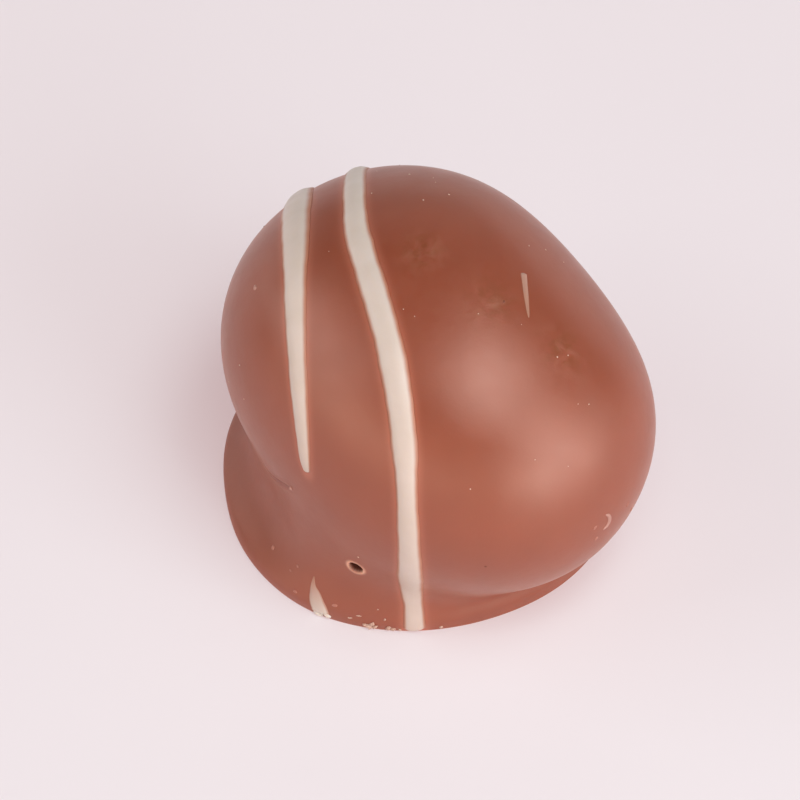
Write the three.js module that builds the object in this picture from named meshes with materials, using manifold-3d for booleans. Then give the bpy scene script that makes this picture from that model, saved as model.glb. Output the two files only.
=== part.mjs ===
// An enrobed chocolate praline: an egg-shaped body that sits a little off centre on the round foot
// its coating ran into, with two raised threads of white chocolate laid over the top.
// Millimetres and degrees, +Z up, front towards -Y, origin under the middle of the bounding box.
import * as THREE from "three";
import { ParametricGeometry } from "three/addons/geometries/ParametricGeometry.js";
import { mergeVertices } from "three/addons/utils/BufferGeometryUtils.js";
import Module from "manifold-3d";

const wasm = await Module();
wasm.setup();
const radians = THREE.MathUtils.degToRad;

// The body: an egg whose long axis lies level, with soft swellings and a hollow on it.
const BODY_LENGTH = 31.8;
const BODY_WIDTH = 24.6;
const BODY_HEIGHT = 24.6;
const BODY_BEARING = radians(-58);
const BODY_MIDDLE = new THREE.Vector3(-0.2, 0, 10);
const SWELLINGS = [
  { bearing: 81, elevation: 51, rise: 0.85, spread: 22 },
  { bearing: -18, elevation: 6, rise: 1.38, spread: 24 },
  { bearing: 177, elevation: 25, rise: 1.25, spread: 24 },
  { bearing: -48, elevation: -22, rise: 0.2, spread: 14 },
  { bearing: -125, elevation: -32, rise: 0.9, spread: 16 },
  { bearing: -150, elevation: -25, rise: -0.4, spread: 12 },
];

// The foot: a shallow lens that stands on its flat side, its edge a little lobed. Bluntness is the power
// its rounded section is drawn with: 2 is a lens, more is boxier.
const FOOT_RADIUS = 13.55;
const FOOT_THICKNESS = 2.2;
const FOOT_MIDDLE = new THREE.Vector3(-0.9, 0.4, 0);
const FOOT_LOBES = [
  { bearing: -68, rise: -0.2, spread: 14 },
  { bearing: -172, rise: -0.3, spread: 14 },
  { bearing: -148, rise: 0.26, spread: 26 },
];
const FOOT_BLUNTNESS = 2;
const FOOT_BLUNT_LOBES = [{ bearing: -55, rise: 3, spread: 30 }];

// The fillet between them: tight at the front right, wide where the coating ran down at the left.
const FILLET_SIZE = 1.3;
const FILLET_LOBES = [
  { bearing: -132, rise: 2.9, spread: 16 },
  { bearing: -105, rise: 2.4, spread: 20 },
  { bearing: 180, rise: 4.2, spread: 35 },
  { bearing: -155, rise: 1, spread: 12 },
  { bearing: -58, rise: -0.5, spread: 25 },
];

// How finely the coat is divided: round the praline, over its dome, and down its side to the floor.
const COAT_SECTORS = 80;
const DOME_RINGS = 18;
const SIDE_RINGS = 24;
const SIDE_CROWDING = 1.5;
// How often a ray is halved to find the skin, and the step that the skin's slope is measured over.
const HALVINGS = 40;
const SLOPE_STEP = 0.01;

// The threads. Each run turns about a level axis along X, this far above the floor; its stops give the
// turn from straight up (forwards is positive), the place along X, and the bead's width. The bead's
// section is a flattened ellipse sunk a little in the skin, its half width, half height and depth in
// shares of that width.
const TURN_AXIS_HEIGHT = 8;
const BEAD_SUNK_SHARE = 0.15;
const BEAD_HALF_WIDTH_SHARE = 0.53;
const BEAD_FLATNESS = 0.75;
const BEAD_SIDES = 12;
const BEAD_FLOOR_GAP = 0.05;
const WHOLE_THREAD = {
  stops: [
    [-88, -4.7, 1.1],
    [-60, -5.1, 1.36],
    [-41, -5.4, 1.38],
    [-18, -5.33, 1.47],
    [-6, -4.87, 1.58],
    [10, -3.9, 1.6],
    [24, -3.06, 1.66],
    [38, -2.45, 1.64],
    [51, -2.1, 1.54],
    [64, -1.95, 1.32],
    [86, -1.77, 1.5],
    [99, -1.73, 1.57],
    [109, -1.61, 1.32],
    [113.5, -1.52, 1.15],
    [120.6, -1.42, 1.3],
  ],
  halfHeightShare: 0.34,
  roundedStart: 0.04,
  roundedEnd: 0.006,
  steps: 72,
};
const BROKEN_THREAD = {
  stops: [
    [-84, -8.5, 1.3],
    [-60, -9, 1.85],
    [-36, -9.28, 2.1],
    [-15, -9.27, 1.78],
    [4, -9.25, 1.5],
    [21, -9.13, 1.38],
    [38, -8.93, 1.22],
    [52, -8.73, 1.05],
    [60, -8.62, 0.86],
    [65.2, -8.48, 0.5],
  ],
  halfHeightShare: 0.34,
  roundedStart: 0.05,
  roundedEnd: 0.01,
  steps: 48,
};
// The scrap of the broken thread that fell on the foot: stops give a bearing and a height on the side,
// and the width.
const FALLEN_SCRAP = {
  stops: [
    [-123.8, 2.9, 0.22],
    [-123.1, 2.23, 0.42],
    [-121.7, 1.69, 0.9],
    [-120.5, 1.17, 1.1],
    [-119.4, 0.7, 1.22],
    [-118.9, 0.22, 1.34],
  ],
  halfHeightShare: 0.23,
  roundedStart: 0.35,
  roundedEnd: 0.08,
  steps: 14,
};

// The pinhole in the fillet at the front left, left by an air bubble.
const PINHOLE_BEARING = radians(-111.5);
const PINHOLE_HEIGHT = 5.5;
const PINHOLE_LENGTH = 1.02;
const PINHOLE_WIDTH = 0.96;
const PINHOLE_DEPTH = 0.6;
const PINHOLE_LEAN = radians(-24);
const PINHOLE_SIDES = 14;
const PINHOLE_ROWS = 8;

const CHOCOLATE = { color: 0x9f5e48, roughness: 0.4, metalness: 0 };

// A bell-shaped rise: 1 at an angle of zero, fading over the spread.
function bell(angle, spread) {
  return Math.exp(-0.5 * (angle / spread) ** 2);
}

// The smallest turn from one bearing to another.
function turnBetween(from, to) {
  return THREE.MathUtils.euclideanModulo(to - from + Math.PI, 2 * Math.PI) - Math.PI;
}

// A unit direction from a bearing (from +X towards +Y) and an elevation above the floor.
function direction(bearing, elevation) {
  const level = Math.cos(elevation);
  return new THREE.Vector3(level * Math.cos(bearing), level * Math.sin(bearing), Math.sin(elevation));
}

// Distance from the body's middle to its skin along a unit vector.
function bodyReach(towards) {
  const along = towards.x * Math.cos(BODY_BEARING) + towards.y * Math.sin(BODY_BEARING);
  const across = towards.y * Math.cos(BODY_BEARING) - towards.x * Math.sin(BODY_BEARING);
  let reach = 0.5 / Math.hypot(along / BODY_LENGTH, across / BODY_WIDTH, towards.z / BODY_HEIGHT);
  for (const { bearing, elevation, rise, spread } of SWELLINGS) {
    const top = direction(radians(bearing), radians(elevation));
    reach += rise * bell(towards.angleTo(top), radians(spread));
  }
  return reach;
}

// How far a point lies outside the body; negative inside it.
function outsideBody(point) {
  const offset = point.clone().sub(BODY_MIDDLE);
  const distance = offset.length();
  return distance > 0 ? distance - bodyReach(offset.divideScalar(distance)) : -BODY_WIDTH;
}

// A size that rises by a bell at each lobe's bearing.
function lobed(size, lobes, bearing) {
  let total = size;
  for (const lobe of lobes) {
    total += lobe.rise * bell(turnBetween(radians(lobe.bearing), bearing), radians(lobe.spread));
  }
  return total;
}

// About how far a point lies outside the foot; negative inside it.
function outsideFoot(point) {
  const offset = point.clone().sub(FOOT_MIDDLE);
  const bearing = Math.atan2(offset.y, offset.x);
  const radius = lobed(FOOT_RADIUS, FOOT_LOBES, bearing);
  const power = lobed(FOOT_BLUNTNESS, FOOT_BLUNT_LOBES, bearing);
  const level = Math.hypot(offset.x, offset.y) / radius;
  const upright = Math.abs(offset.z) / FOOT_THICKNESS;
  const share = (level ** power + upright ** power) ** (1 / power);
  const slope = Math.hypot(level ** (power - 1) / radius, upright ** (power - 1) / FOOT_THICKNESS);
  return slope > 0 ? (share ** (power - 1) * (share - 1)) / slope : -FOOT_THICKNESS;
}

// How far a point lies outside the coat: body and foot run together with a fillet between them.
function outsideCoat(point) {
  const bearing = Math.atan2(point.y - BODY_MIDDLE.y, point.x - BODY_MIDDLE.x);
  const fillet = lobed(FILLET_SIZE, FILLET_LOBES, bearing);
  const body = outsideBody(point);
  const foot = outsideFoot(point);
  const overlap = Math.max(fillet - Math.abs(body - foot), 0);
  return Math.min(body, foot) - overlap ** 2 / (4 * fillet);
}

// The point where a ray from inside the coat comes out of it, found by halving.
function skinPoint(from, towards) {
  let inside = 0;
  let outside = BODY_LENGTH;
  for (let halving = 0; halving < HALVINGS; halving += 1) {
    const middle = (inside + outside) / 2;
    if (outsideCoat(from.clone().addScaledVector(towards, middle)) < 0) inside = middle;
    else outside = middle;
  }
  return from.clone().addScaledVector(towards, inside);
}

// The coat's outward normal: the way its field rises fastest.
function skinNormal(point) {
  const rise = ["x", "y", "z"].map((axis) => {
    const ahead = point.clone();
    const behind = point.clone();
    ahead[axis] += SLOPE_STEP;
    behind[axis] -= SLOPE_STEP;
    return outsideCoat(ahead) - outsideCoat(behind);
  });
  return new THREE.Vector3(...rise).normalize();
}

// The line inside the praline that its side is measured from, leaning from foot to body.
function spinePoint(height) {
  const spine = FOOT_MIDDLE.clone().lerp(BODY_MIDDLE, height / BODY_MIDDLE.z);
  return spine.setZ(height);
}

// The coat as rings: rays fan out over the dome, level rays go down the side, and the foot's flat
// underside closes on its middle.
function coatGeometry() {
  const rings = DOME_RINGS + SIDE_RINGS + 1;
  const ringPoint = (u, v, target) => {
    const bearing = -2 * Math.PI * u;
    const ring = Math.round(v * rings);
    const below = (ring - DOME_RINGS) / SIDE_RINGS;
    if (below <= 0) {
      const elevation = (Math.PI / 2) * (1 - ring / DOME_RINGS);
      target.copy(skinPoint(BODY_MIDDLE, direction(bearing, elevation)));
    } else if (below <= 1) {
      const height = BODY_MIDDLE.z * (1 - below) ** SIDE_CROWDING;
      target.copy(skinPoint(spinePoint(height), direction(bearing, 0)));
    } else {
      target.copy(FOOT_MIDDLE);
    }
  };
  return new ParametricGeometry(ringPoint, COAT_SECTORS, rings);
}

// A bead laid on the coat: a flattened ellipse sunk in the skin, carried along a line on it and rounded
// off at both ends, where its stations crowd. Each of the line's stops holds a place and a width; rayAt
// gives the ray that meets the skin at a place.
function beadGeometry({ stops, halfHeightShare, roundedStart, roundedEnd, steps }, rayAt) {
  const points = stops.map((stop) => new THREE.Vector3(...stop));
  const line = new THREE.CatmullRomCurve3(points, false, "catmullrom");
  const stations = [];
  for (let step = 0; step <= steps; step += 1) {
    const share = (1 - Math.cos((Math.PI * step) / steps)) / 2;
    const stop = line.getPoint(share);
    const point = skinPoint(...rayAt(stop.x, stop.y));
    const rounding = Math.min(share / roundedStart, (1 - share) / roundedEnd, 1);
    const width = stop.z * Math.sqrt(1 - (1 - rounding) ** 2);
    stations.push({ point, width, up: skinNormal(point) });
  }
  stations.forEach((station, step) => {
    const before = stations[Math.max(step - 1, 0)].point;
    const after = stations[Math.min(step + 1, steps)].point;
    station.side = station.up.clone().cross(after.clone().sub(before)).normalize();
  });
  const sectionPoint = (u, v, target) => {
    const { point, width, up, side } = stations[Math.round(v * steps)];
    const angle = 2 * Math.PI * u;
    const arch = Math.sign(Math.sin(angle)) * Math.abs(Math.sin(angle)) ** BEAD_FLATNESS;
    const rise = halfHeightShare * arch - BEAD_SUNK_SHARE;
    target.copy(point);
    target.addScaledVector(side, BEAD_HALF_WIDTH_SHARE * width * Math.cos(angle));
    target.addScaledVector(up, rise * width);
  };
  return new ParametricGeometry(sectionPoint, BEAD_SIDES, steps);
}

// The ray for a thread over the top: a turn about the level axis in the plane at this X.
function rayOverTop(turn, x) {
  const tilt = radians(turn);
  const from = new THREE.Vector3(x, 0, TURN_AXIS_HEIGHT);
  return [from, new THREE.Vector3(0, -Math.sin(tilt), Math.cos(tilt))];
}

// The ray for what lies on the side: level from the spine.
function rayOnSide(bearing, height) {
  return [spinePoint(height), direction(radians(bearing), 0)];
}

// A small rounded pit sunk in the skin, its long side leaning from level.
function pinholeGeometry() {
  const outwards = direction(PINHOLE_BEARING, 0);
  const point = skinPoint(spinePoint(PINHOLE_HEIGHT), outwards);
  const normal = skinNormal(point);
  const level = new THREE.Vector3(0, 0, 1).cross(normal).normalize();
  const frame = new THREE.Matrix4().makeBasis(level, normal.clone().cross(level), normal);
  const pit = new THREE.SphereGeometry(1, PINHOLE_SIDES, PINHOLE_ROWS);
  pit.scale(PINHOLE_LENGTH / 2, PINHOLE_WIDTH / 2, PINHOLE_DEPTH);
  pit.rotateZ(PINHOLE_LEAN);
  return pit.applyMatrix4(frame).translate(...point);
}

// A closed geometry as a solid for cutting and joining, without the triangles that close to nothing at
// a pole or a pointed end.
function solidOf(geometry) {
  geometry.deleteAttribute("normal");
  geometry.deleteAttribute("uv");
  const merged = mergeVertices(geometry);
  const corners = [];
  for (let first = 0; first < merged.index.count; first += 3) {
    const triangle = [0, 1, 2].map((corner) => merged.index.getX(first + corner));
    if (new Set(triangle).size === 3) corners.push(...triangle);
  }
  const vertProperties = new Float32Array(merged.attributes.position.array);
  const triVerts = new Uint32Array(corners);
  return new wasm.Manifold(new wasm.Mesh({ numProp: 3, vertProperties, triVerts }));
}

// A solid back as a geometry for a mesh.
function geometryOf(solid) {
  const { vertProperties, triVerts } = solid.getMesh();
  const geometry = new THREE.BufferGeometry();
  geometry.setAttribute("position", new THREE.BufferAttribute(vertProperties, 3));
  geometry.setIndex(new THREE.BufferAttribute(triVerts, 1));
  geometry.computeVertexNormals();
  return geometry;
}

const beads = [
  beadGeometry(WHOLE_THREAD, rayOverTop),
  beadGeometry(BROKEN_THREAD, rayOverTop),
  beadGeometry(FALLEN_SCRAP, rayOnSide),
];
const coat = solidOf(coatGeometry()).subtract(solidOf(pinholeGeometry()));
const whole = beads.reduce((solid, bead) => {
  const aboveFloor = solidOf(bead).trimByPlane([0, 0, 1], BEAD_FLOOR_GAP);
  return solid.add(aboveFloor);
}, coat);

const praline = new THREE.Mesh(geometryOf(whole), new THREE.MeshStandardMaterial(CHOCOLATE));
praline.name = "praline";

const group = new THREE.Group();
group.add(praline);

export default group;
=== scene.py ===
"""An enrobed chocolate praline, dressed over its solid.

A milk chocolate coat, an egg-shaped body run into a round foot, carries two beads of white chocolate
thread, a fallen scrap of one, a thin dash, and the small marks of a hand-made sweet. Shapes are worked
out in millimetres and degrees in the solid's own frame: +Z up, front towards -Y.
"""

import bpy
import numpy as np
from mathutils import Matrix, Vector


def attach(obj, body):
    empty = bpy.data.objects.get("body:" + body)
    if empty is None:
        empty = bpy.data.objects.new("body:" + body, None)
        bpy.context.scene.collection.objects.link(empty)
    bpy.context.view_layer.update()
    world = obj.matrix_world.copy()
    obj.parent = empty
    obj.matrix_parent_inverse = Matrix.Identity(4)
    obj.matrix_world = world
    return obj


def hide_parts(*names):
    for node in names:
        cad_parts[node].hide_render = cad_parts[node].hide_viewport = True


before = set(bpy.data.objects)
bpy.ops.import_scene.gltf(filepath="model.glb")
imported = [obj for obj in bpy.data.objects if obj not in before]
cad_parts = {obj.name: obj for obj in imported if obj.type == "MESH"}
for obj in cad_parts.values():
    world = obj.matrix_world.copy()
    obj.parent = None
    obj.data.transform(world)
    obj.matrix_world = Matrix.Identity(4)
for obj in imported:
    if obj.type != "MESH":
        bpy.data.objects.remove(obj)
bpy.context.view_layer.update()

MM = 0.001
# What lies at the floor stays this far above it.
FLOOR_GAP = 0.01
# How often a ray is halved to find the skin, and the step that the skin's slope is measured over.
HALVINGS = 30
SLOPE_STEP = 0.02

# The body: an egg whose long axis lies level, with soft swellings given as bearing, elevation, rise
# and spread.
BODY_LENGTH = 31.8
BODY_WIDTH = 24.6
BODY_HEIGHT = 24.6
BODY_BEARING = -58
BODY_MIDDLE = np.array([-0.2, 0, 10])
SWELLINGS = (
    (81, 51, 0.85, 22),
    (-18, 6, 1.38, 24),
    (177, 25, 1.25, 24),
    (-48, -22, 0.2, 14),
    (-125, -32, 0.9, 16),
    (-150, -25, -0.4, 12),
)
# Faint ripples, drawn by chance: how many, about how high, and how wide in degrees.
RIPPLE_COUNT = 44
RIPPLE_RISE = 0.035
RIPPLE_SPREAD = 11
RIPPLE_SEED = 7

# The foot: a shallow lens standing on its flat side; lobes of its edge are bearing, rise and spread.
FOOT_RADIUS = 13.55
FOOT_THICKNESS = 2.2
FOOT_MIDDLE = np.array([-0.9, 0.4, 0])
FOOT_LOBES = (
    (-68, -0.2, 14),
    (-172, -0.3, 14),
    (-148, 0.26, 26),
)
# How blunt the foot's edge is: 2 is a lens, more is boxier; lobes as for its edge.
FOOT_BLUNTNESS = 2
FOOT_BLUNT_LOBES = (
    (-55, 3, 30),
)

# The fillet between them, widest where the coating ran down at the front left; lobes as for the foot.
FILLET_SIZE = 1.3
FILLET_LOBES = (
    (-132, 2.9, 16),
    (-105, 2.4, 20),
    (180, 4.2, 35),
    (-155, 1, 12),
    (-58, -0.5, 25),
)

# The coat's grid: columns round it, rows from crown to floor, rows across the underside, and the power
# by which rows on the side crowd towards the floor.
COAT_COLUMNS = 400
COAT_ROWS = 228
SOLE_ROWS = 8
SIDE_CROWDING = 1.5
# Rows and columns crowd round the pinhole and the fold: how far that spreads, and how much denser.
PINHOLE_ROW_CROWD = (0.03, 4)
PINHOLE_COLUMN_CROWD = (3, 4)
FOLD_ROW_CROWD = (0.05, 1.5)
FOLD_COLUMN_CROWD = (6, 1.2)

# The pinhole of a burst air bubble, and its low lip. In shares of the way from the hole's middle to its
# edge: where the lip is highest, how far it falls outwards and inwards, and where the painted shade inside
# the hole begins and how soon it is full. The lip's painted highlight is brightest at the hole's two ends.
PINHOLE_BEARING = -111.5
PINHOLE_HEIGHT = 5.5
PINHOLE_LENGTH = 1.02
PINHOLE_WIDTH = 0.96
PINHOLE_DEPTH = 0.6
PINHOLE_LEAN = 24
PINHOLE_LIP = 0.03
PINHOLE_LIP_AT = 1.18
PINHOLE_LIP_SPREAD = 0.17
PINHOLE_LIP_SPREAD_INSIDE = 0.06
PINHOLE_LIP_SIDE_HIGHLIGHT = 0.55
PINHOLE_SHADE_FROM = 1.04
PINHOLE_SHADE_FADE = 0.12

# The fold where the overhang creased the coating at the left: stops of bearing and height on the side,
# then its depth, how far it spreads, and the rise of the lips beside it.
FOLD = (
    (-159, 7.1),
    (-155.3, 7.15),
    (-149.6, 7.6),
    (-143.8, 8.4),
    (-138, 9.3),
)
FOLD_DEPTH = 0.24
FOLD_SPREAD = 0.12
FOLD_LIP = 0.05
FOLD_LIP_AWAY = 0.33
FOLD_STEPS = 48

# Places on the body where the coating was scuffed: bearing, elevation and spread.
SCUFFS = (
    (130, 84, 4.5),
    (-36, 69, 5),
    (-31, 45, 4.5),
    (60, 20, 5),
    (150, 5, 4),
)

# Specks on the body: bearing and elevation from its middle. More sugar lies on the side that isn't seen.
SUGAR_SPECKS = (
    (90, 52), (89, 55), (81, 61), (25, 50), (20, 44), (-121, 72), (-108, 71), (-52, 68.5), (-35, 58),
    (-35, 45), (-31, 43), (-41, 33), (-38, 31), (-61, 27), (-53, 22), (-80, 23), (-112, -13),
)
SUGAR_SIZE = 0.1
SUGAR_SIZE_RANGE = (0.7, 1.3)
SUGAR_WIDTH_SHARE = 0.8
SUGAR_RISE_SHARE = 0.4
UNSEEN_SPECKS = 26
UNSEEN_BEARINGS = (0, 200)
UNSEEN_ELEVATIONS = (-15, 65)
SPECK_SEED = 11
COCOA_SPECKS = (
    (-77.3, -1.3), (-29, 66), (100, 30), (140, 18),
)
COCOA_SIZE = (0.2, 0.14, 0.04)
COCOA_TURN = 25

# Lumps on the side: bearing and height, then length, width, rise, and the turn of the length from level.
# Blisters are painted pale, a painted highlight on these raised lumps, and taut; bubbles are nearly as
# brown as the coat, a little paler as a painted sheen. Ragged is the share by which chance moves each point
# of a crumb.
COAT_BLISTERS = (
    (-138, 9.36, 0.3, 0.22, 0.13, -35),
    (171, 17.97, 0.42, 0.3, 0.09, 20),
)
COAT_BUBBLES = (
    (-141.5, 1.94, 0.34, 0.32, 0.07, 0),
    (-130.1, 2.63, 0.24, 0.2, 0.05, 0),
    (-131.8, 2, 0.22, 0.16, 0.04, 0),
    (-127.7, 1.05, 0.3, 0.24, 0.05, 0),
    (-115.4, 1.49, 0.42, 0.24, 0.05, 10),
    (-49.5, 9.31, 0.42, 0.3, 0.05, 40),
    (-50.1, 10.6, 0.36, 0.26, 0.04, 60),
    (-38.8, 10, 0.4, 0.24, 0.04, 70),
    (-36.3, 8.6, 0.36, 0.22, 0.04, 70),
    (70, 13, 0.7, 0.3, 0.09, 30),
    (118, 7.5, 0.4, 0.36, 0.1, 0),
)
# Crumbs of both chocolates along the foot's edge.
EDGE_CRUMBS = (
    (-104.9, 0.3, 0.5, 0.36, 0.2, 10),
    (-104.2, 0.55, 0.34, 0.26, 0.16, 60),
    (-106, 0.36, 0.34, 0.22, 0.14, -20),
    (-103.4, 0.3, 0.36, 0.24, 0.15, 30),
    (-99.6, 0.32, 0.36, 0.24, 0.18, 15),
    (-98.3, 0.2, 0.4, 0.18, 0.12, 0),
    (-96.4, 0.16, 0.22, 0.15, 0.1, 0),
    (-100.9, 1.06, 0.2, 0.13, 0.07, 75),
    (-103.3, 1.85, 0.12, 0.1, 0.05, 0),
    (-84.8, 0.25, 0.26, 0.16, 0.1, 0),
    (-110.5, 0.75, 0.3, 0.12, 0.04, 8),
    (-108.2, 1.1, 0.34, 0.12, 0.04, 4),
    (25, 0.3, 0.4, 0.28, 0.18, 10),
    (64, 0.25, 0.26, 0.2, 0.12, 40),
)
EDGE_CRUMB_RAGGED = 0.3
# What crumbled off the fallen scrap's foot.
SCRAP_CRUMBS = (
    (-119.6, 0.18, 0.8, 0.34, 0.17, 5),
    (-116.9, 0.36, 0.55, 0.32, 0.17, -12),
)
SCRAP_CRUMB_RAGGED = 0.12
LUMP_ROWS = 9
LUMP_SIDES = 14
# Waves of a lump's girth: how many go round it, and their share of it.
LUMP_WAVES = ((2, 0.12), (3, 0.05))

# Threads over the top: turn from straight up about a level axis along X (forwards is positive), place
# along X, width.
TURN_AXIS_HEIGHT = 8
WHOLE_THREAD = (
    (-88, -4.7, 1.1),
    (-60, -5.1, 1.36),
    (-41, -5.4, 1.38),
    (-18, -5.33, 1.47),
    (-6, -4.87, 1.58),
    (10, -3.9, 1.6),
    (24, -3.06, 1.66),
    (38, -2.45, 1.64),
    (51, -2.1, 1.54),
    (64, -1.95, 1.32),
    (86, -1.77, 1.5),
    (99, -1.73, 1.57),
    (109, -1.61, 1.32),
    (113.5, -1.52, 1.15),
    (120.6, -1.42, 1.3),
)
BROKEN_THREAD = (
    (-84, -8.5, 1.3),
    (-60, -9, 1.85),
    (-36, -9.28, 2.1),
    (-15, -9.27, 1.78),
    (4, -9.25, 1.5),
    (21, -9.13, 1.38),
    (38, -8.93, 1.22),
    (52, -8.73, 1.05),
    (60, -8.62, 0.86),
    (65.2, -8.48, 0.5),
)
# The scrap that fell on the foot: bearing and height on the side, width.
FALLEN_SCRAP = (
    (-123.8, 2.9, 0.22),
    (-123.1, 2.23, 0.42),
    (-121.7, 1.69, 0.9),
    (-120.5, 1.17, 1.1),
    (-119.4, 0.7, 1.22),
    (-118.9, 0.22, 1.34),
)
# The curved rim of a burst blister on the right: bearing, height, width.
BLISTER_RIM = (
    (-46.8, 11.13, 0.12),
    (-45.9, 10.85, 0.22),
    (-45.5, 10.35, 0.28),
    (-46.2, 9.93, 0.26),
    (-47.6, 9.76, 0.12),
)
# The dash smeared on the top: X, Y, width.
THIN_DASH = (
    (5.66, 0.24, 0.46),
    (5.79, -1.6, 0.34),
    (5.95, -3.35, 0.17),
)
# A bead's section in shares of its width: how deep it is sunk, its half width, and the skirt at its foot.
# Flatness is the power of its arch: 1 is an ellipse, less is flatter. Slow waves of its width are a share
# of it and a length.
BEAD_SIDES = 56
BEAD_SUNK_SHARE = 0.15
BEAD_HALF_WIDTH_SHARE = 0.53
BEAD_SKIRT_SHARE = 0.14
BEAD_SKIRT_RISE_SHARE = 0.04
BEAD_FLATNESS = 0.75
BEAD_WAVES = ((0.022, 5.3), (0.016, 2.9), (0.01, 1.3))
# How far the light that a thread lets through reaches into the coat beside it.
GLOW_SPREAD = 0.24
GLOW_STEPS_A_STOP = 12

# The camera stands in front and looks down.
CAMERA_AIM = np.array([-2.4, 0.05, 8])
CAMERA_ELEVATION = 52
CAMERA_DISTANCE = 420
CAMERA_LENS = 283

# Soft boxes: name, bearing, elevation, width, height, radiance and warmth; each stands this far off.
# A warmth of 1 has the warm colour below, and 0 is white.
LIGHT_DISTANCE = 600
SOFT_BOXES = (
    ("top_box", -28, 71, 300, 240, 3.2, 0),
    ("top_left_box", -75, 66, 300, 300, 3.4, 0),
    ("top_right_box", 5, 64, 300, 300, 1.6, 0),
    ("middle_box", -36, 48, 360, 200, 1.4, 0),
    ("right_box", -36, 27, 360, 300, 3.5, 0),
    ("right_low_box", -36, 9, 500, 200, 2.5, 0),
    ("right_front_box", -64, 14, 300, 280, 3.05, 0.35),
    ("right_side_box", -5, 16, 300, 300, 1.3, 0),
    ("left_box", 178, 32, 460, 360, 2.3, 0),
    ("left_front_box", -150, 14, 320, 260, 2.5, 0.6),
    ("back_left_box", 140, 6, 400, 220, 1, 0),
    ("back_high_box", 92, 34, 500, 160, 0.7, 0),
    ("back_box", 70, 9, 900, 220, 0.9, 0),
    ("front_box", -112, 14, 500, 280, 1.6, 0.5),
)
WARM_LIGHT = (1, 0.76, 0.58)

# The floor glows a little, as a lit table does; its colours are the two ends of its clouding.
FLOOR_HALF_WIDTH = 2000
FLOOR_DROP = 0.02
FLOOR_COLOURS = (0.395, 0.455, 0.475, 1), (0.415, 0.475, 0.495, 1)
FLOOR_CLOUDS = 40
FLOOR_DETAIL = 4
FLOOR_ROUGHNESS = 0.7
FLOOR_GLOW = 0.41
FLOOR_GLOW_COLOUR = (1, 0.66, 0.675, 1)

# Cooled fat, the surface of both chocolates. Each noise is its scale in mottles, detail and roughness.
FAT_IOR = 1.5
TONE_NOISE = (1, 3, 0.5)
MATT_NOISE = (2.3, 4, 0.6)
COARSE_NOISE = (6, 2, 0.5)
FINE_NOISE = (24, 3, 0.6)
FINE_SHARE = 0.35
MOTTLE_SPAN = (0.3, 0.7)

# Milk chocolate. Pairs of colours and of roughness are the two ends of its mottling; mottles are counted
# along a metre; depth is how far red, green and blue light wander inside; grain is a strength and a height.
MILK_BROWNS = (0.25, 0.058, 0.027, 1), (0.272, 0.064, 0.03, 1)
MILK_MOTTLES = 260
MILK_ROUGHNESS = (0.35, 0.42)
MILK_GLOSS = 1
MILK_GLOSS_TINT = (1, 0.75, 0.66, 1)
MILK_SHEEN = 0.14
MILK_SHEEN_ROUGHNESS = 0.3
MILK_SHEEN_TINT = (1, 0.72, 0.62, 1)
MILK_DEPTH = (0.6, 0.2, 0.1)
MILK_DEPTH_SHARE = 0.5
MILK_GRAIN = (0.07, 0.12)

# Marks in the milk chocolate, with painted shade in the pinhole and the fold and a painted highlight on the
# pinhole's lip. A share is how much of a mark's colour shows. Stains and smudges, where the coating was
# scuffed, are noises: how many lie along a metre, their detail, and the span that shows.
STAIN_COLOUR = (0.2, 0.05, 0.012, 1)
STAIN_SHARE = 0.7
STAIN_BLOTS = 1500
STAIN_DETAIL = 3
STAIN_SPAN = (0.42, 0.6)
SMUDGE_COLOUR = (0.42, 0.17, 0.11, 1)
SMUDGE_SHARE = 0.28
SMUDGE_WISPS = 900
SMUDGE_DETAIL = 4
SMUDGE_DISTORTION = 0.7
SMUDGE_SPAN = (0.44, 0.66)
SMUDGE_ROUGHNESS = 0.12
SMUDGE_GRAIN = 1.5
# The pale lip round the pinhole is a painted highlight.
LIP_HIGHLIGHT_COLOUR = (0.75, 0.42, 0.29, 1)
LIP_HIGHLIGHT_SHARE = 0.75
# The fold's groove is painted darker: painted shade in the crease.
FOLD_SHADE_COLOUR = (0.16, 0.035, 0.018, 1)
FOLD_SHADE_SHARE = 0.4
GLOW_COLOUR = (0.38, 0.11, 0.063, 1)
GLOW_SHARE = 1
# The dark inside the pinhole is painted shade.
HOLE_SHADE_COLOUR = (0.08, 0.01, 0.002, 1)
HOLE_SHADE_SHARE = 1
HOLE_ROUGHNESS = 0.6

# White chocolate, in the same terms. The fringe runs along a bead's edge; the browning turns from its first
# colour to its second as it grows: on the dash and the scrap it is a thin film, and the threads turn a
# little darker and browner towards their front ends.
WHITE_IVORIES = (0.61, 0.52, 0.45, 1), (0.65, 0.56, 0.5, 1)
WHITE_MOTTLES = 420
WHITE_ROUGHNESS = (0.4, 0.5)
WHITE_DEPTH = (0.8, 0.55, 0.35)
WHITE_DEPTH_SHARE = 0.25
WHITE_GRAIN = (0.1, 0.1)
FRINGE_COLOUR = (0.43, 0.17, 0.1, 1)
FRINGE_SPAN = (0.7, 1.04)
BROWNING_COLOURS = (0.25, 0.085, 0.058, 1), (0.36, 0.08, 0.01, 1)

# Small grains and lumps: the two ends of their clouding, and clouds along a metre.
SUGAR_CLOUDS = (0.5, 0.3, 0.22, 1), (0.7, 0.52, 0.42, 1), 6000
COCOA_CLOUDS = (0.15, 0.036, 0.017, 1), (0.19, 0.046, 0.022, 1), 6000
# Blisters and the blister's rim are painted pale: a painted highlight on small raised lumps.
BLISTER_HIGHLIGHT_CLOUDS = (0.38, 0.18, 0.14, 1), (0.48, 0.25, 0.2, 1), 2400
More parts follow.
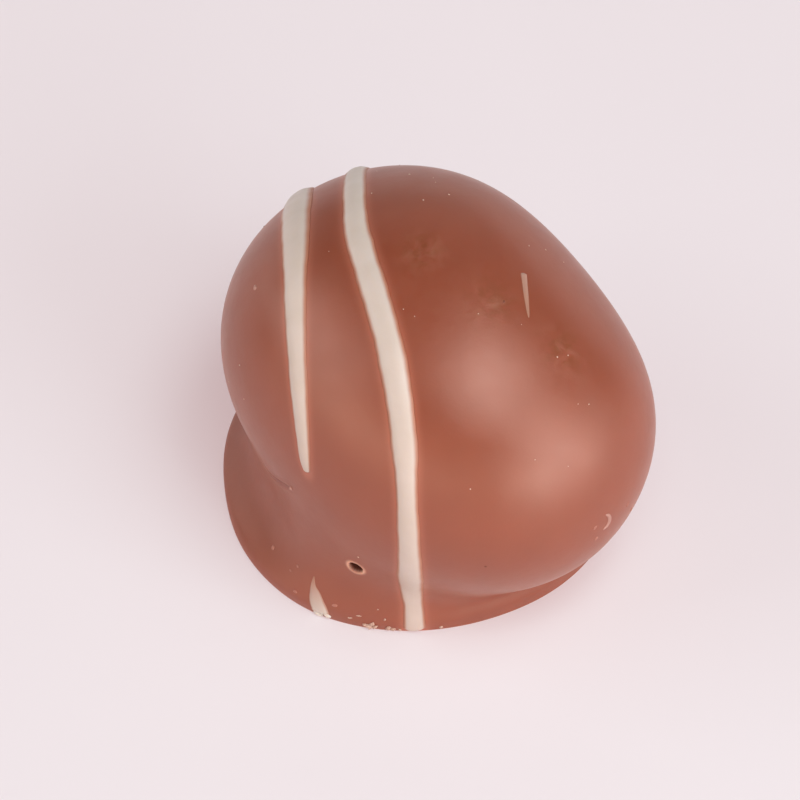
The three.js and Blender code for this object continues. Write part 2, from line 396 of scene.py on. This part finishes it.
# Bubbles are the coat's brown, made a little paler as a painted sheen.
BUBBLE_SHEEN_CLOUDS = (0.34, 0.12, 0.078, 1), (0.42, 0.165, 0.115, 1), 2400
CRUMB_CLOUDS = (0.46, 0.22, 0.14, 1), (0.64, 0.46, 0.39, 1), 1600
CLOUD_DETAIL = 3
LUMP_ROUGHNESS = 0.5
LUMP_GRAIN = (0.3, 0.05)


def bell(distance, spread):
    """A rise of 1 that fades as a bell curve over the spread."""
    return np.exp(-0.5 * (distance / spread) ** 2)


def turn_between(start, end):
    """The smallest turn from one bearing to another, in degrees."""
    return (end - start + 180) % 360 - 180


def lobed(size, lobes, bearing):
    """A size that rises by bells round the compass: each lobe is a bearing, a rise and a spread."""
    return size + sum(rise * bell(turn_between(at, bearing), spread) for at, rise, spread in lobes)


def heading(bearing, elevation):
    """Unit vectors from bearings (from +X towards +Y) and elevations above the floor."""
    bearing, elevation = np.broadcast_arrays(np.radians(bearing), np.radians(elevation))
    level = np.cos(elevation)
    return np.stack([level * np.cos(bearing), level * np.sin(bearing), np.sin(elevation)], axis=-1)


def unit(vectors):
    """Vectors scaled to length 1."""
    return vectors / np.maximum(np.linalg.norm(vectors, axis=-1, keepdims=True), 1e-12)


def body_reach(towards):
    """Distance from the body's middle to its skin: an ellipsoid's radius in that direction, plus a
    bell-shaped rise for each swelling and each faint ripple by the angle from its top."""
    yaw = np.radians(BODY_BEARING)
    along = towards[..., 0] * np.cos(yaw) + towards[..., 1] * np.sin(yaw)
    across = towards[..., 1] * np.cos(yaw) - towards[..., 0] * np.sin(yaw)
    shares = np.stack([along / BODY_LENGTH, across / BODY_WIDTH, towards[..., 2] / BODY_HEIGHT])
    reach = 0.5 / np.linalg.norm(shares, axis=0)
    for bearing, elevation, rise, spread in SWELLINGS:
        cosine = np.clip(towards @ heading(bearing, elevation), -1, 1)
        reach = reach + rise * bell(np.degrees(np.arccos(cosine)), spread)
    closeness = (towards @ RIPPLE_TOPS.T - 1) / np.radians(RIPPLE_SPREAD) ** 2
    return reach + np.exp(closeness) @ RIPPLE_RISES


def outside_body(point):
    """How far a point lies outside the body along the ray from its middle; negative inside."""
    offset = point - BODY_MIDDLE
    distance = np.linalg.norm(offset, axis=-1)
    return distance - body_reach(unit(offset + 1e-9))


def outside_foot(point):
    """About how far a point lies outside the foot: a lens whose radius and bluntness, the power its
    rounded section is drawn with, are lobed by bearing."""
    offset = point - FOOT_MIDDLE
    bearing = np.degrees(np.arctan2(offset[..., 1], offset[..., 0]))
    radius = lobed(FOOT_RADIUS, FOOT_LOBES, bearing)
    power = lobed(FOOT_BLUNTNESS, FOOT_BLUNT_LOBES, bearing)
    level = np.hypot(offset[..., 0], offset[..., 1]) / radius
    upright = np.abs(offset[..., 2]) / FOOT_THICKNESS
    share = np.maximum(level**power + upright**power, 1e-9) ** (1 / power)
    slope = np.hypot(level ** (power - 1) / radius, upright ** (power - 1) / FOOT_THICKNESS)
    return share ** (power - 1) * (share - 1) / np.maximum(slope, 1e-9)


def outside_coat(point):
    """How far a point lies outside the coat: the lesser of body and foot, less a fillet that fades as
    the two draw apart."""
    offset = point - BODY_MIDDLE
    bearing = np.degrees(np.arctan2(offset[..., 1], offset[..., 0]))
    fillet = lobed(FILLET_SIZE, FILLET_LOBES, bearing)
    body, foot = outside_body(point), outside_foot(point)
    overlap = np.maximum(fillet - np.abs(body - foot), 0)
    return np.minimum(body, foot) - overlap**2 / (4 * fillet)


def skin_point(start, towards):
    """Where rays from inside come out of the coat: each ray's length is halved towards the change of
    sign of the coat's field."""
    inside = np.zeros(np.broadcast_shapes(start.shape, towards.shape)[:-1])
    outside = inside + BODY_LENGTH
    for _ in range(HALVINGS):
        middle = (inside + outside) / 2
        within = outside_coat(start + towards * middle[..., None]) < 0
        inside = np.where(within, middle, inside)
        outside = np.where(within, outside, middle)
    return start + towards * inside[..., None]


def skin_normal(point):
    """Outward normals: the way the coat's field rises fastest, by differences along the axes."""
    steps = SLOPE_STEP * np.eye(3)
    rises = [outside_coat(point + step) - outside_coat(point - step) for step in steps]
    return unit(np.stack(rises, axis=-1))


def spine_point(height):
    """The line inside the praline that its side is measured from, leaning from foot to body."""
    share = (np.asarray(height, float) / BODY_MIDDLE[2])[..., None]
    return FOOT_MIDDLE + (BODY_MIDDLE - FOOT_MIDDLE) * share


def rays_over_top(turn, x):
    """Rays in the plane at each X, turned forwards from straight up about the level axis."""
    tilt = np.radians(turn)
    start = np.stack([x, 0 * x, TURN_AXIS_HEIGHT + 0 * x], axis=-1)
    return start, np.stack([0 * x, -np.sin(tilt), np.cos(tilt)], axis=-1)


def rays_on_side(bearing, height):
    """Level rays from the spine at each height."""
    return spine_point(height), heading(bearing, 0)


def rays_from_middle(bearing, elevation):
    """Rays from the body's middle."""
    return BODY_MIDDLE, heading(bearing, elevation)


def descent_to(height):
    """How far down the coat's rows a height on its side lies."""
    return 2 - (height / BODY_MIDDLE[2]) ** (1 / SIDE_CROWDING)


def rays_upwards(x, y):
    """Rays straight up from the floor under the praline."""
    return np.stack([x, y, 0 * x], axis=-1), np.stack([0 * x, 0 * x, 1 + 0 * x], axis=-1)


def crowded(count, low, high, crowds):
    """Count + 1 values from low to high that crowd round some places: an even spacing whose density has
    a bell added for each crowd (place, spread, extra), found by turning its running sum round."""
    fine = np.linspace(low, high, 6001)
    density = 1 + sum(extra * bell(fine - at, spread) for at, spread, extra in crowds)
    total = np.concatenate([[0], np.cumsum((density[1:] + density[:-1]) / 2)])
    return np.interp(np.linspace(0, total[-1], count + 1), total, fine)


def smooth_line(stops, count):
    """A smooth line through the stops: between two of them it is the cubic whose slope at each is half
    the step between that stop's neighbours."""
    stops = np.asarray(stops, float)
    padded = np.vstack([2 * stops[0] - stops[1], stops, 2 * stops[-1] - stops[-2]])
    along = np.linspace(0, len(stops) - 1, count + 1)
    first = np.minimum(along.astype(int), len(stops) - 2)
    share = (along - first)[:, None]
    before, start, end, after = (padded[first + step] for step in range(4))
    linear = (end - before) / 2
    square = before - 2.5 * start + 2 * end - after / 2
    cubic = (after - before) / 2 + 1.5 * (start - end)
    return start + linear * share + square * share**2 + cubic * share**3


def beside_threads(points):
    """Light that comes through the coat beside a thread: a bell of the distance from the thread's edge."""
    glow = np.zeros(points.shape[:-1])
    for stops in (WHOLE_THREAD, BROKEN_THREAD):
        line = smooth_line(stops, GLOW_STEPS_A_STOP * len(stops))
        path = skin_point(*rays_over_top(line[:, 0], line[:, 1]))
        for stop, width in zip(path, line[:, 2]):
            away = np.linalg.norm(points - stop, axis=-1) - BEAD_HALF_WIDTH_SHARE * width
            glow = np.maximum(glow, bell(np.maximum(away, 0), GLOW_SPREAD))
    return glow


def lay_skin(name, runs, material, masks=None):
    """A mesh of one or more closed skins. Each run is an array of rings whose first and last rings are
    poles drawn together to a point; faces join neighbouring rings all the way round. Masks, for a skin of
    one run, are values stored on its points."""
    points, faces, filled = [], [], 0
    for rings in runs:
        rows, columns = rings.shape[:2]
        index = np.arange((rows - 2) * columns).reshape(rows - 2, columns) + filled + 1
        beside = np.roll(index, -1, axis=1)
        quads = np.stack([index[:-1], index[1:], beside[1:], beside[:-1]], axis=-1).reshape(-1, 4)
        top = np.full(columns, filled)
        bottom = np.full(columns, filled + 1 + (rows - 2) * columns)
        faces += np.stack([top, index[0], beside[0]], axis=-1).tolist()
        faces += quads.tolist()
        faces += np.stack([index[-1], bottom, beside[-1]], axis=-1).tolist()
        points.append(np.vstack([rings[0, :1], rings[1:-1].reshape(-1, 3), rings[-1, :1]]))
        filled += len(points[-1])
    mesh = bpy.data.meshes.new(name)
    mesh.from_pydata((np.vstack(points) * MM).tolist(), [], faces)
    mesh.polygons.foreach_set("use_smooth", np.ones(len(mesh.polygons), bool))
    for label, mask in (masks or {}).items():
        values = np.concatenate([mask[0, :1], mask[1:-1].ravel(), mask[-1, :1]])
        stored = mesh.attributes.new(label, "FLOAT", "POINT")
        stored.data.foreach_set("value", values.astype(np.float32))
    mesh.materials.append(material)
    mesh.update()
    piece = bpy.data.objects.new(name, mesh)
    bpy.context.scene.collection.objects.link(piece)
    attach(piece, "root")
    return piece


def coat_rings():
    """The coat as rings. For a descent of 0 to 1 rays fan from the body's middle, from straight up to
    level; from 1 to 2 they stay level and start ever lower on the spine; then the ring on the floor
    shrinks to the foot's middle. Rows and columns crowd round the pinhole, which is pushed in along
    the normal as the bowl of an ellipse with a low lip, and round the fold, a bell-shaped groove with
    two lips by the distance from its line. Gives the rings, and masks of the painted shade in the hole, the
    painted highlight on its lip, the painted shade in the fold, the scuffs and the glow beside the threads."""
    fold_bearing, fold_height = np.mean(FOLD, axis=0)
    row_crowds = (
        (descent_to(PINHOLE_HEIGHT), *PINHOLE_ROW_CROWD),
        (descent_to(fold_height), *FOLD_ROW_CROWD),
    )
    column_crowds = (
        (PINHOLE_BEARING, *PINHOLE_COLUMN_CROWD),
        (fold_bearing, *FOLD_COLUMN_CROWD),
    )
    descent = crowded(COAT_ROWS, 0, 2, row_crowds)
    low = PINHOLE_BEARING - 180
    bearing = crowded(COAT_COLUMNS, low, low + 360, column_crowds)[:-1]
    towards = heading(bearing, 90 * np.clip(1 - descent, 0, 1)[:, None])
    height = BODY_MIDDLE[2] * np.clip(2 - descent, 0, 1) ** SIDE_CROWDING
    skin = skin_point(spine_point(height)[:, None], towards)

    fold_line = smooth_line(FOLD, FOLD_STEPS)
    fold_path = skin_point(*rays_on_side(fold_line[:, 0], fold_line[:, 1]))
    fold_in = -skin_normal(fold_path[len(fold_path) // 2])
    apart = np.stack([np.linalg.norm(skin - stop, axis=-1) for stop in fold_path])
    along_fold = np.argmin(apart, axis=0) / (len(fold_path) - 1)
    fold_away = np.min(apart, axis=0)
    fading = np.sqrt(np.clip(np.sin(np.pi * along_fold), 0, 1))
    # The groove's bell, which also carries the painted shade in the fold.
    fold = bell(fold_away, FOLD_SPREAD) * fading
    fold_lip = bell(fold_away - FOLD_LIP_AWAY, FOLD_SPREAD) * fading
    skin = skin + fold_in * (FOLD_DEPTH * fold - FOLD_LIP * fold_lip)[..., None]

    hole = skin_point(*rays_on_side(PINHOLE_BEARING, PINHOLE_HEIGHT))
    inwards = -skin_normal(hole)
    level = unit(np.cross(inwards, [0, 0, 1]))
    steep = np.cross(inwards, level)
    lean = np.radians(PINHOLE_LEAN)
    offset = skin - hole
    along = offset @ (level * np.cos(lean) + steep * np.sin(lean)) * 2 / PINHOLE_LENGTH
    across = offset @ (steep * np.cos(lean) - level * np.sin(lean)) * 2 / PINHOLE_WIDTH
    near = np.abs(offset @ inwards) < 2 * PINHOLE_LENGTH
    reach = np.where(near, np.hypot(along, across), np.inf)
    bowl = PINHOLE_DEPTH * np.sqrt(np.clip(1 - reach**2, 0, 1))
    lip_outside = bell(reach - PINHOLE_LIP_AT, PINHOLE_LIP_SPREAD)
    lip_inside = bell(reach - 1, PINHOLE_LIP_SPREAD_INSIDE)
    lip = np.where(reach > 1, lip_outside, lip_inside)
    skin = skin + inwards * (bowl - PINHOLE_LIP * lip)[..., None]
    # How strong the painted highlight on the lip is: brightest at the hole's two ends.
    lip_end = np.minimum((along / np.maximum(reach, 1e-9)) ** 2, 1)
    lip_highlight = PINHOLE_LIP_SIDE_HIGHLIGHT + (1 - PINHOLE_LIP_SIDE_HIGHLIGHT) * lip_end
    # The painted shade inside the hole.
    dark = np.clip((PINHOLE_SHADE_FROM - reach) / PINHOLE_SHADE_FADE, 0, 1)

    sole = np.linspace(1, 0, SOLE_ROWS + 1)[1:, None, None]
    rings = np.concatenate([skin, FOOT_MIDDLE + (skin[-1:] - FOOT_MIDDLE) * sole])
    seen = unit(rings - BODY_MIDDLE)
    scuff = sum(
        bell(np.degrees(np.arccos(np.clip(seen @ heading(at, up), -1, 1))), spread)
        for at, up, spread in SCUFFS
    )
    below = np.zeros((SOLE_ROWS, COAT_COLUMNS))
    # The hole and fold masks carry painted shade, the lip mask a painted highlight.
    masks = {"hole": dark, "lip": lip * lip_highlight, "fold": fold}
    masks = {label: np.concatenate([mask, below]) for label, mask in masks.items()}
    return rings, {**masks, "scuff": scuff, "glow": beside_threads(rings)}


def bead_rings(stops, ray_at, steps, rounded, tall, browning, seed):
    """A bead laid on the coat: an ellipse sunk a little in the skin, carried along a smooth line on it.
    Near the skin the ellipse is widened by a bell of its height into a thin skirt. The width wavers by a
    few slow waves and is rounded off at each end as a quarter circle. Browning is how far the chocolate
    turns brown at the start and the end: a thin film on the dash and the scrap, a darkening towards the
    front on the threads. Gives the rings, how near each point is to the bead's edge, and how far it is
    browned."""
    line = smooth_line(stops, steps)
    path = skin_point(*ray_at(line[:, 0], line[:, 1]))
    up = skin_normal(path)
    tangent = unit(np.gradient(path, axis=0))
    side = unit(np.cross(tangent, up))
    run = np.concatenate([[0], np.cumsum(np.linalg.norm(np.diff(path, axis=0), axis=1))])
    ends = np.clip(np.minimum(run / rounded[0], (run[-1] - run) / rounded[1]), 0, 1)
    rng = np.random.default_rng(seed)
    waver = sum(
        share * np.sin(2 * np.pi * (run / length + rng.random()))
        for share, length in BEAD_WAVES
    )
    width = line[:, 2] * (1 + waver) * np.sqrt(1 - (1 - ends) ** 2)
    angle = np.linspace(0, 2 * np.pi, BEAD_SIDES, endpoint=False)
    half_height = tall + BEAD_SUNK_SHARE
    arch = np.sign(np.sin(angle)) * np.abs(np.sin(angle)) ** BEAD_FLATNESS
    rise = half_height * arch - BEAD_SUNK_SHARE
    skirt = 1 + BEAD_SKIRT_SHARE * bell(np.minimum(rise, 0.5 * tall), BEAD_SKIRT_RISE_SHARE)
    across = (BEAD_HALF_WIDTH_SHARE * width)[:, None] * np.cos(angle) * skirt
    lift = width[:, None] * rise
    rings = path[:, None] + side[:, None] * across[..., None] + up[:, None] * lift[..., None]
    rings[..., 2] = np.maximum(rings[..., 2], FLOOR_GAP)
    edge = np.broadcast_to(np.abs(np.cos(angle)) * skirt, lift.shape)
    browned = np.broadcast_to(np.linspace(*browning, steps + 1)[:, None], lift.shape)
    return rings, {"edge": edge, "browned": browned}


def lump_rings(ray, length, width, rise, turn, seed, ragged=0):
    """A small lump whose middle lies on the skin: a ball drawn out to a length, a width and a rise, its
    long side turned from level, its girth wavering by waves round it and, where it is ragged, by chance at
    every point."""
    place = skin_point(*ray)
    up = skin_normal(place)
    level = unit(np.cross([0.01, 0, 1], up))
    spin = np.radians(turn)
    along = level * np.cos(spin) + np.cross(up, level) * np.sin(spin)
    polar = np.linspace(0, np.pi, LUMP_ROWS)[:, None]
    round_it = np.linspace(0, 2 * np.pi, LUMP_SIDES, endpoint=False)
    rng = np.random.default_rng(seed)
    starts = rng.random(len(LUMP_WAVES)) * 2 * np.pi
    waves = [share * np.sin(count * round_it + start) for (count, share), start in zip(LUMP_WAVES, starts)]
    waver = 1 + sum(waves) + ragged * rng.uniform(-1, 1, (LUMP_ROWS, LUMP_SIDES))
    waver_up = np.where(np.sin(polar) < 1e-6, 1, waver)
    forth = (length / 2 * waver * np.sin(polar) * np.cos(round_it))[..., None] * along
    sideways = (width / 2 * waver * np.sin(polar) * np.sin(round_it))[..., None] * np.cross(up, along)
    upwards = (rise * waver_up * np.cos(polar))[..., None] * up
    rings = place + forth + sideways + upwards
    rings[..., 2] = np.maximum(rings[..., 2], FLOOR_GAP)
    return rings


def lumps_on_side(marks, ragged=0):
    """Lumps at their places on the coat's side."""
    return [
        lump_rings(rays_on_side(*mark[:2]), *mark[2:], seed, ragged) for seed, mark in enumerate(marks)
    ]


def add_node(tree, kind, inputs, **settings):
    """A node with its settings made; an input is a value to set or a socket to link from."""
    made = tree.nodes.new(kind)
    for setting, value in settings.items():
        setattr(made, setting, value)
    for place, value in inputs.items():
        if isinstance(value, bpy.types.NodeSocket):
            tree.links.new(value, made.inputs[place])
        else:
            made.inputs[place].default_value = value
    return made


def mix_colours(tree, share, first, second):
    """A colour between two, by a share."""
    return add_node(tree, "ShaderNodeMix", {0: share, 6: first, 7: second}, data_type="RGBA").outputs[2]


def reckon(tree, operation, *values):
    """One step of arithmetic on sockets or numbers."""
    inputs = dict(enumerate(values))
    return add_node(tree, "ShaderNodeMath", inputs, operation=operation).outputs[0]


def attribute(tree, label):
    """A value stored on the piece's points."""
    return add_node(tree, "ShaderNodeAttribute", {}, attribute_name=label).outputs["Fac"]


def spread_out(tree, value, span, interpolation="LINEAR"):
    """A value stretched so that the span becomes 0 to 1; beyond the span it stays at 0 or 1."""
    inputs = {"Value": value, "From Min": span[0], "From Max": span[1]}
    return add_node(tree, "ShaderNodeMapRange", inputs, interpolation_type=interpolation).outputs["Result"]


def part_way(tree, share, span):
    """A value part of the way along a span, by a share."""
    inputs = {"Value": share, "To Min": span[0], "To Max": span[1]}
    return add_node(tree, "ShaderNodeMapRange", inputs).outputs["Result"]


def noise(tree, scale, detail, roughness=0.5, distortion=0):
    """Clouds of 0 to 1 in the piece's own space; scale is about how many lie along a metre."""
    inputs = {
        "Vector": tree.nodes.new("ShaderNodeTexCoord").outputs["Object"],
        "Scale": scale,
        "Detail": detail,
        "Roughness": roughness,
        "Distortion": distortion,
    }
    return add_node(tree, "ShaderNodeTexNoise", inputs).outputs["Fac"]


def new_group(name, labels):
    """A node group with an input, Scale, and an output for each label. Gives the group, the input's
    socket and the sockets that the outputs are fed by."""
    tree = bpy.data.node_groups.new(name, "ShaderNodeTree")
    tree.interface.new_socket("Scale", in_out="INPUT", socket_type="NodeSocketFloat")
    for label in labels:
        tree.interface.new_socket(label, in_out="OUTPUT", socket_type="NodeSocketFloat")
    scale = tree.nodes.new("NodeGroupInput").outputs["Scale"]
    return tree, scale, tree.nodes.new("NodeGroupOutput").inputs


def cooled_fat_group():
    """The surface of chocolate that has cooled: soft mottling of tone, patches that are a little more
    matt, and a grain, coarse with some fine. Scale is the number of mottles along a metre."""
    tree, scale, result = new_group("cooled fat", ("Tone", "Matt", "Grain"))

    def mottles(times, detail, roughness):
        return noise(tree, reckon(tree, "MULTIPLY", scale, times), detail, roughness)

    fine = reckon(tree, "MULTIPLY", mottles(*FINE_NOISE), FINE_SHARE)
    tree.links.new(spread_out(tree, mottles(*TONE_NOISE), MOTTLE_SPAN), result["Tone"])
    tree.links.new(spread_out(tree, mottles(*MATT_NOISE), MOTTLE_SPAN), result["Matt"])
    tree.links.new(reckon(tree, "ADD", fine, mottles(*COARSE_NOISE)), result["Grain"])
    return tree


def clouded_group():
    """The clouding of small grains and lumps. Scale is the number of clouds along a metre."""
    tree, scale, result = new_group("clouded grain", ("Cloud",))
    tree.links.new(noise(tree, scale, CLOUD_DETAIL), result["Cloud"])
    return tree


def new_material(name, depth=(0, 0, 0), depth_share=0):
    """A material with one principled shader; depth is how far red, green and blue light wander inside,
    and depth_share how much of the light goes in."""
    material = bpy.data.materials.new(name)
    material.use_nodes = True
    shader = material.node_tree.nodes["Principled BSDF"]
    shader.inputs["IOR"].default_value = FAT_IOR
    shader.inputs["Subsurface Weight"].default_value = depth_share
    shader.inputs["Subsurface Radius"].default_value = depth
    shader.inputs["Subsurface Scale"].default_value = MM
    return material, material.node_tree, shader


def add_bump(tree, shader, height, grain):
    """Tilts a shader's normals by a height; grain is the strength of that and how high it stands."""
    inputs = {"Height": height, "Strength": grain[0], "Distance": grain[1] * MM}
    tree.links.new(add_node(tree, "ShaderNodeBump", inputs).outputs["Normal"], shader.inputs["Normal"])


def milk_chocolate():
    """Satin milk chocolate: two browns mottled. Where it is scuffed it is stained, smudged pale and a
    little rougher; the pinhole is painted dark as shade, with a painted highlight on its lip, the fold is
    painted darker as shade in its crease, and the coat beside a thread is lit from within."""
    material, tree, shader = new_material("milk chocolate", MILK_DEPTH, MILK_DEPTH_SHARE)
    shader.inputs["Specular IOR Level"].default_value = MILK_GLOSS
    shader.inputs["Specular Tint"].default_value = MILK_GLOSS_TINT
    shader.inputs["Sheen Weight"].default_value = MILK_SHEEN
    shader.inputs["Sheen Roughness"].default_value = MILK_SHEEN_ROUGHNESS
    shader.inputs["Sheen Tint"].default_value = MILK_SHEEN_TINT
    fat = add_node(tree, "ShaderNodeGroup", {"Scale": MILK_MOTTLES}, node_tree=COOLED_FAT)
    hole, scuffed = attribute(tree, "hole"), attribute(tree, "scuff")
    blots = spread_out(tree, noise(tree, STAIN_BLOTS, STAIN_DETAIL), STAIN_SPAN)
    wisps = noise(tree, SMUDGE_WISPS, SMUDGE_DETAIL, distortion=SMUDGE_DISTORTION)
    smudge = reckon(tree, "MULTIPLY", scuffed, spread_out(tree, wisps, SMUDGE_SPAN))
    colour = mix_colours(tree, fat.outputs["Tone"], *MILK_BROWNS)
    # Stains and smudges are the coat's own marks; the lip carries a painted highlight, the fold and the
    # hole painted shade, and the glow is light through the coat beside a thread.
    for mask, share, mark_colour in (
        (reckon(tree, "MULTIPLY", scuffed, blots), STAIN_SHARE, STAIN_COLOUR),
        (smudge, SMUDGE_SHARE, SMUDGE_COLOUR),
        (attribute(tree, "lip"), LIP_HIGHLIGHT_SHARE, LIP_HIGHLIGHT_COLOUR),
        (attribute(tree, "fold"), FOLD_SHADE_SHARE, FOLD_SHADE_COLOUR),
        (attribute(tree, "glow"), GLOW_SHARE, GLOW_COLOUR),
        (hole, HOLE_SHADE_SHARE, HOLE_SHADE_COLOUR),
    ):
        colour = mix_colours(tree, reckon(tree, "MULTIPLY", mask, share), colour, mark_colour)
    tree.links.new(colour, shader.inputs["Base Color"])
    rough = part_way(tree, fat.outputs["Matt"], MILK_ROUGHNESS)
    rough = reckon(tree, "ADD", rough, reckon(tree, "MULTIPLY", smudge, SMUDGE_ROUGHNESS))
    rough = reckon(tree, "ADD", rough, reckon(tree, "MULTIPLY", hole, HOLE_ROUGHNESS))
    tree.links.new(rough, shader.inputs["Roughness"])
    height = reckon(tree, "ADD", fat.outputs["Grain"], reckon(tree, "MULTIPLY", smudge, SMUDGE_GRAIN))
    add_bump(tree, shader, height, MILK_GRAIN)
    return material


def white_chocolate():
    """Ivory white chocolate: a warm fringe at its edge, where light comes back through it from the milk
    chocolate, and ever browner where it is browned: warmer on a thin film, darker towards a thread's front
    end."""
    material, tree, shader = new_material("white chocolate", WHITE_DEPTH, WHITE_DEPTH_SHARE)
    fat = add_node(tree, "ShaderNodeGroup", {"Scale": WHITE_MOTTLES}, node_tree=COOLED_FAT)
    ivory = mix_colours(tree, fat.outputs["Tone"], *WHITE_IVORIES)
    fringe = spread_out(tree, attribute(tree, "edge"), FRINGE_SPAN, "SMOOTHSTEP")
    fringed = mix_colours(tree, fringe, ivory, FRINGE_COLOUR)
    browned = attribute(tree, "browned")
    browning = mix_colours(tree, browned, *BROWNING_COLOURS)
    tree.links.new(mix_colours(tree, browned, fringed, browning), shader.inputs["Base Color"])
    tree.links.new(part_way(tree, fat.outputs["Matt"], WHITE_ROUGHNESS), shader.inputs["Roughness"])
    add_bump(tree, shader, fat.outputs["Grain"], WHITE_GRAIN)
    return material


def clouded_colours(name, dark, light, clouds):
    """Small grains and lumps: two colours clouded through them, and a fine rough surface."""
    material, tree, shader = new_material(name)
    shader.inputs["Roughness"].default_value = LUMP_ROUGHNESS
    cloud = add_node(tree, "ShaderNodeGroup", {"Scale": clouds}, node_tree=CLOUDED).outputs["Cloud"]
    tree.links.new(mix_colours(tree, cloud, dark, light), shader.inputs["Base Color"])
    add_bump(tree, shader, cloud, LUMP_GRAIN)
    return material


def table_top():
    """A plain pale floor, faintly clouded, just below the praline."""
    material, tree, shader = new_material("table top")
    shader.inputs["Roughness"].default_value = FLOOR_ROUGHNESS
    shader.inputs["Emission Color"].default_value = FLOOR_GLOW_COLOUR
    shader.inputs["Emission Strength"].default_value = FLOOR_GLOW
    pale = mix_colours(tree, noise(tree, FLOOR_CLOUDS, FLOOR_DETAIL), *FLOOR_COLOURS)
    tree.links.new(pale, shader.inputs["Base Color"])
    half, drop = FLOOR_HALF_WIDTH * MM, -FLOOR_DROP * MM
    corners = [(-half, -half, drop), (half, -half, drop), (half, half, drop), (-half, half, drop)]
    mesh = bpy.data.meshes.new("floor")
    mesh.from_pydata(corners, [], [(0, 1, 2, 3)])
    mesh.materials.append(material)
    floor = bpy.data.objects.new("floor", mesh)
    bpy.context.scene.collection.objects.link(floor)


def look_at(thing, place, aim):
    """Puts a camera or light at a place, facing the aim."""
    thing.location = Vector(place * MM)
    thing.rotation_euler = Vector((aim - place) * MM).to_track_quat("-Z", "Y").to_euler()
    bpy.context.scene.collection.objects.link(thing)


def studio():
    """The camera, the soft boxes, and a room that gives no light of its own."""
    scene = bpy.context.scene
    scene.view_settings.view_transform = "Standard"
    lens = bpy.data.cameras.new("camera")
    lens.lens = CAMERA_LENS
    camera = bpy.data.objects.new("camera", lens)
    look_at(camera, CAMERA_AIM + CAMERA_DISTANCE * heading(-90, CAMERA_ELEVATION), CAMERA_AIM)
    scene.camera = camera
    for name, bearing, elevation, width, height, radiance, warmth in SOFT_BOXES:
        box = bpy.data.lights.new(name, "AREA")
        box.shape = "RECTANGLE"
        box.size = width * MM
        box.size_y = height * MM
        box.energy = radiance * np.pi * box.size * box.size_y
        box.color = [1 + warmth * (part - 1) for part in WARM_LIGHT]
        light = bpy.data.objects.new(name, box)
        look_at(light, BODY_MIDDLE + LIGHT_DISTANCE * heading(bearing, elevation), BODY_MIDDLE)
    room = bpy.data.worlds.new("room")
    room.use_nodes = True
    room.node_tree.nodes["Background"].inputs["Strength"].default_value = 0
    scene.world = room


ripple_draw = np.random.default_rng(RIPPLE_SEED)
RIPPLE_TOPS = unit(ripple_draw.normal(size=(RIPPLE_COUNT, 3)))
RIPPLE_RISES = ripple_draw.normal(size=RIPPLE_COUNT) * RIPPLE_RISE

COOLED_FAT = cooled_fat_group()
CLOUDED = clouded_group()
MILK = milk_chocolate()
WHITE = white_chocolate()
SUGAR = clouded_colours("sugar grain", *SUGAR_CLOUDS)
COCOA = clouded_colours("cocoa grain", *COCOA_CLOUDS)
BLISTER_HIGHLIGHT = clouded_colours("blistered coating", *BLISTER_HIGHLIGHT_CLOUDS)
BUBBLE = clouded_colours("bubbled coating", *BUBBLE_SHEEN_CLOUDS)
CRUMB = clouded_colours("crumb", *CRUMB_CLOUDS)

rings, masks = coat_rings()
coat = lay_skin("coat", [rings], MILK, masks)
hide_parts("praline")

# Beads: stops, rays, steps along it, the length rounded off at each end, rise in shares of the width,
# browning at each end, and the seed of its waves.
WHITE_BEADS = {
    "whole_thread": (WHOLE_THREAD, rays_over_top, 420, (1.6, 0.2), 0.19, (0, 0.25), 1),
    "broken_thread": (BROKEN_THREAD, rays_over_top, 320, (1.6, 0.15), 0.19, (0, 0.25), 2),
    "fallen_scrap": (FALLEN_SCRAP, rays_on_side, 60, (1, 0.25), 0.08, (0.86, 0), 3),
    "thin_dash": (THIN_DASH, rays_upwards, 60, (0.1, 0.6), 0.08, (0.66, 0.8), 4),
}
RIM_BEAD = (BLISTER_RIM, rays_on_side, 40, (0.2, 0.2), 0.3, (0, 0), 5)

for name, bead in WHITE_BEADS.items():
    rings, masks = bead_rings(*bead)
    lay_skin(name, [rings], WHITE, masks)

speck_draw = np.random.default_rng(SPECK_SEED)
unseen_bearings = speck_draw.uniform(*UNSEEN_BEARINGS, UNSEEN_SPECKS)
unseen_elevations = speck_draw.uniform(*UNSEEN_ELEVATIONS, UNSEEN_SPECKS)
grains = []
for seed, place in enumerate((*SUGAR_SPECKS, *zip(unseen_bearings, unseen_elevations))):
    size = SUGAR_SIZE * speck_draw.uniform(*SUGAR_SIZE_RANGE)
    sizes = size, SUGAR_WIDTH_SHARE * size, SUGAR_RISE_SHARE * size
    grains.append(lump_rings(rays_from_middle(*place), *sizes, 0, seed))
lay_skin("sugar_specks", grains, SUGAR)
lay_skin("cocoa_specks", [
    lump_rings(rays_from_middle(*place), *COCOA_SIZE, COCOA_TURN * seed, seed)
    for seed, place in enumerate(COCOA_SPECKS)
], COCOA)
# Blisters and the blister's rim carry a painted highlight in their pale colour.
lay_skin("coat_blisters", lumps_on_side(COAT_BLISTERS), BLISTER_HIGHLIGHT)
lay_skin("coat_bubbles", lumps_on_side(COAT_BUBBLES), BUBBLE)
rim, _ = bead_rings(*RIM_BEAD)
lay_skin("blister_rim", [rim], BLISTER_HIGHLIGHT)
lay_skin("edge_crumbs", lumps_on_side(EDGE_CRUMBS, EDGE_CRUMB_RAGGED), CRUMB)
lay_skin("scrap_crumbs", lumps_on_side(SCRAP_CRUMBS, SCRAP_CRUMB_RAGGED), WHITE)

table_top()
studio()
